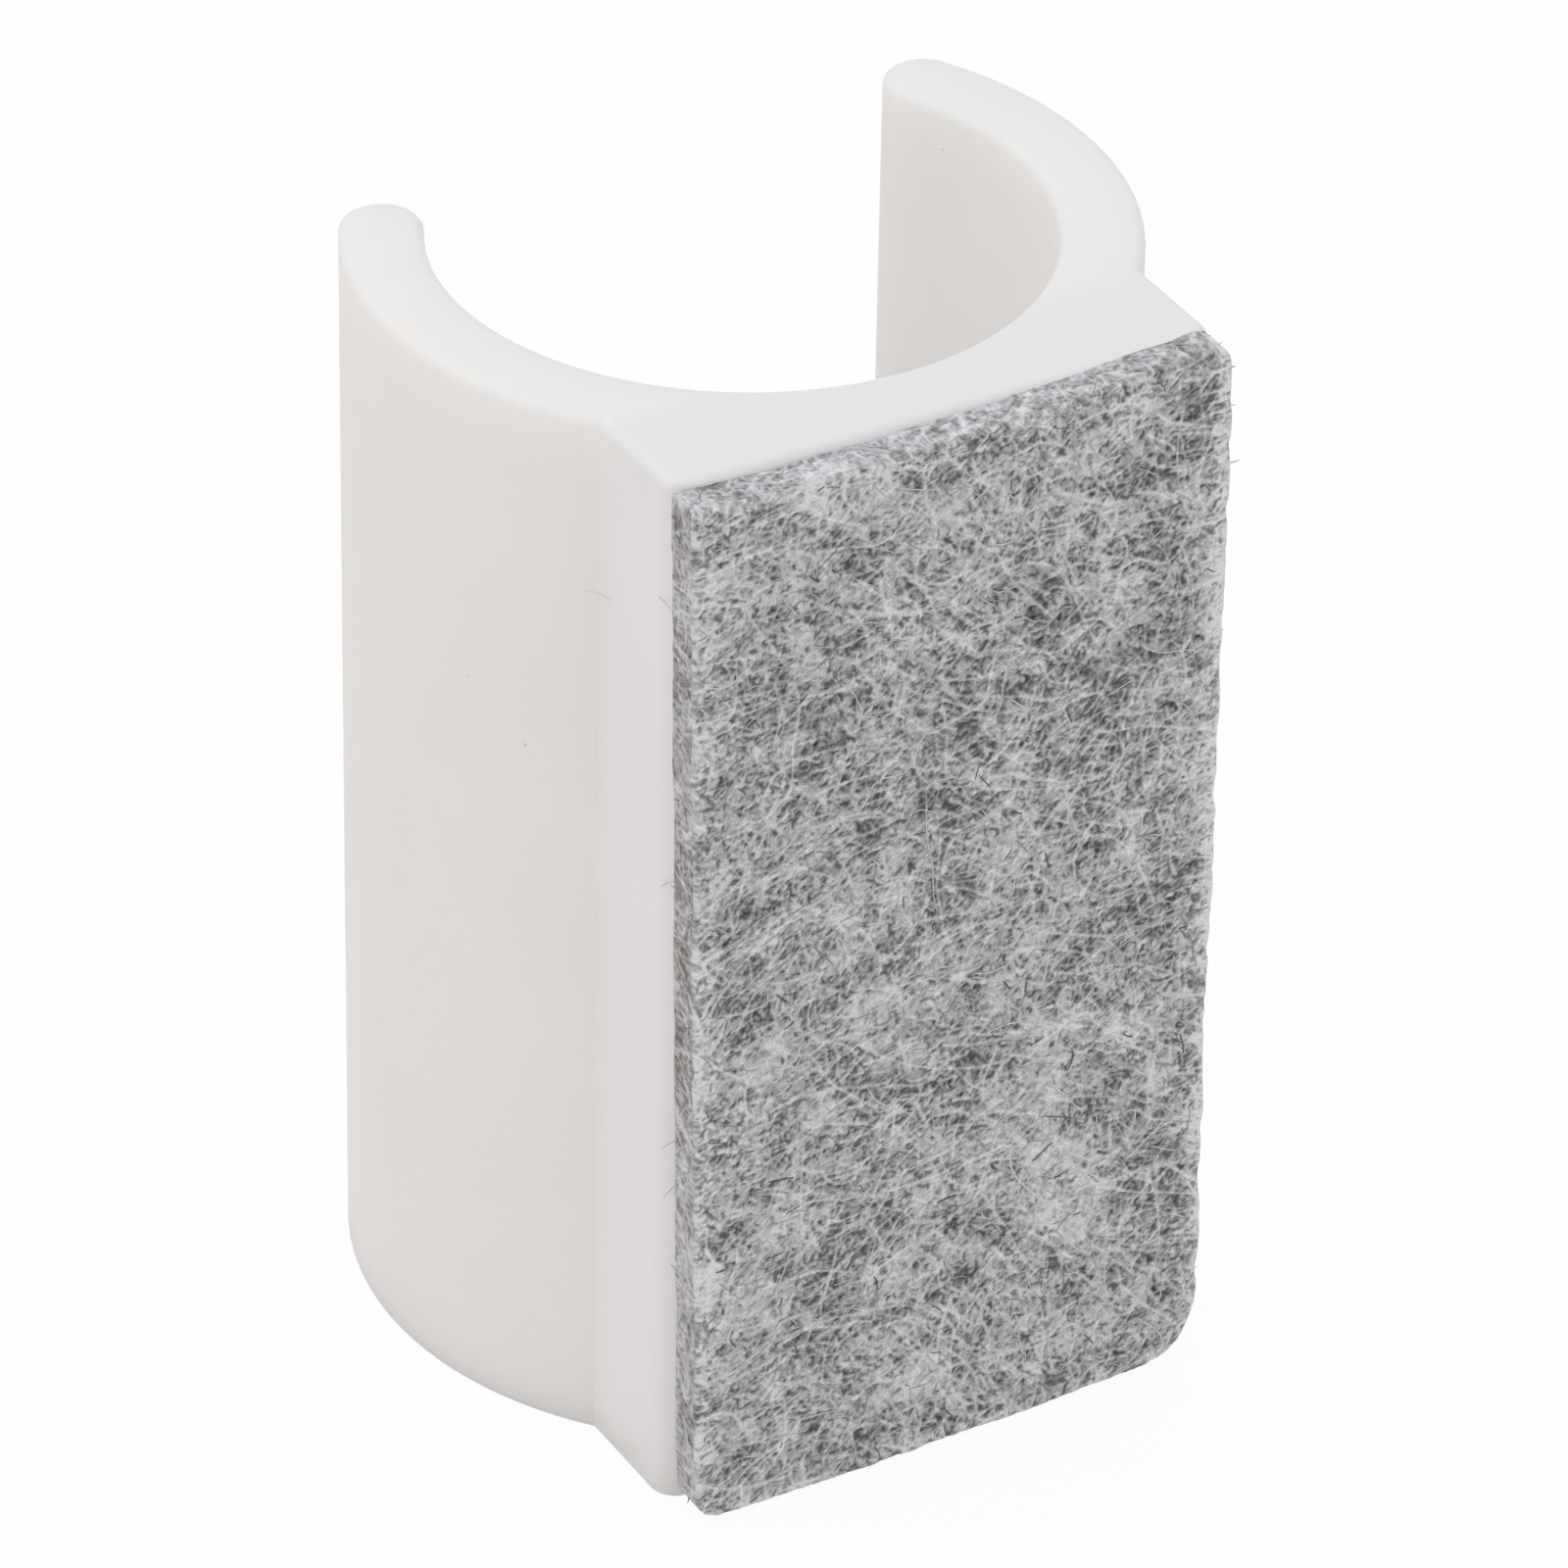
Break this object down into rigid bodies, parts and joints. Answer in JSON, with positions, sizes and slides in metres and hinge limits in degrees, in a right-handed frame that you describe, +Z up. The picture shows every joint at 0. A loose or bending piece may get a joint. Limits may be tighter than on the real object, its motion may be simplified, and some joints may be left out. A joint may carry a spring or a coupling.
{
  "type": "furniture slider",
  "caption": "Clip-on furniture slider: a C-shaped plastic clip that snaps sideways onto round chair tube, with a flat foot that carries a glued felt sole.",
  "frame": {"origin": "on the bore's axis, at the end of the clip that it stands on", "axes": "+Z up along the tube's axis; the mouth between the arms opens to +Y and the felt sole faces -Y"},
  "size_m": [0.0264, 0.0221, 0.04],
  "materials": {
    "clip_plastic": "warm white moulded plastic with a soft satin surface",
    "adhesive": "pale double-sided adhesive layer, seen only at its edge",
    "felt": "mottled grey needled felt with loose light and dark fibres"
  },
  "bodies": {
    "root": {"clip_body": "clip_plastic", "adhesive_layer": "adhesive", "felt_pad": "felt"}
  },
  "joints": []
}
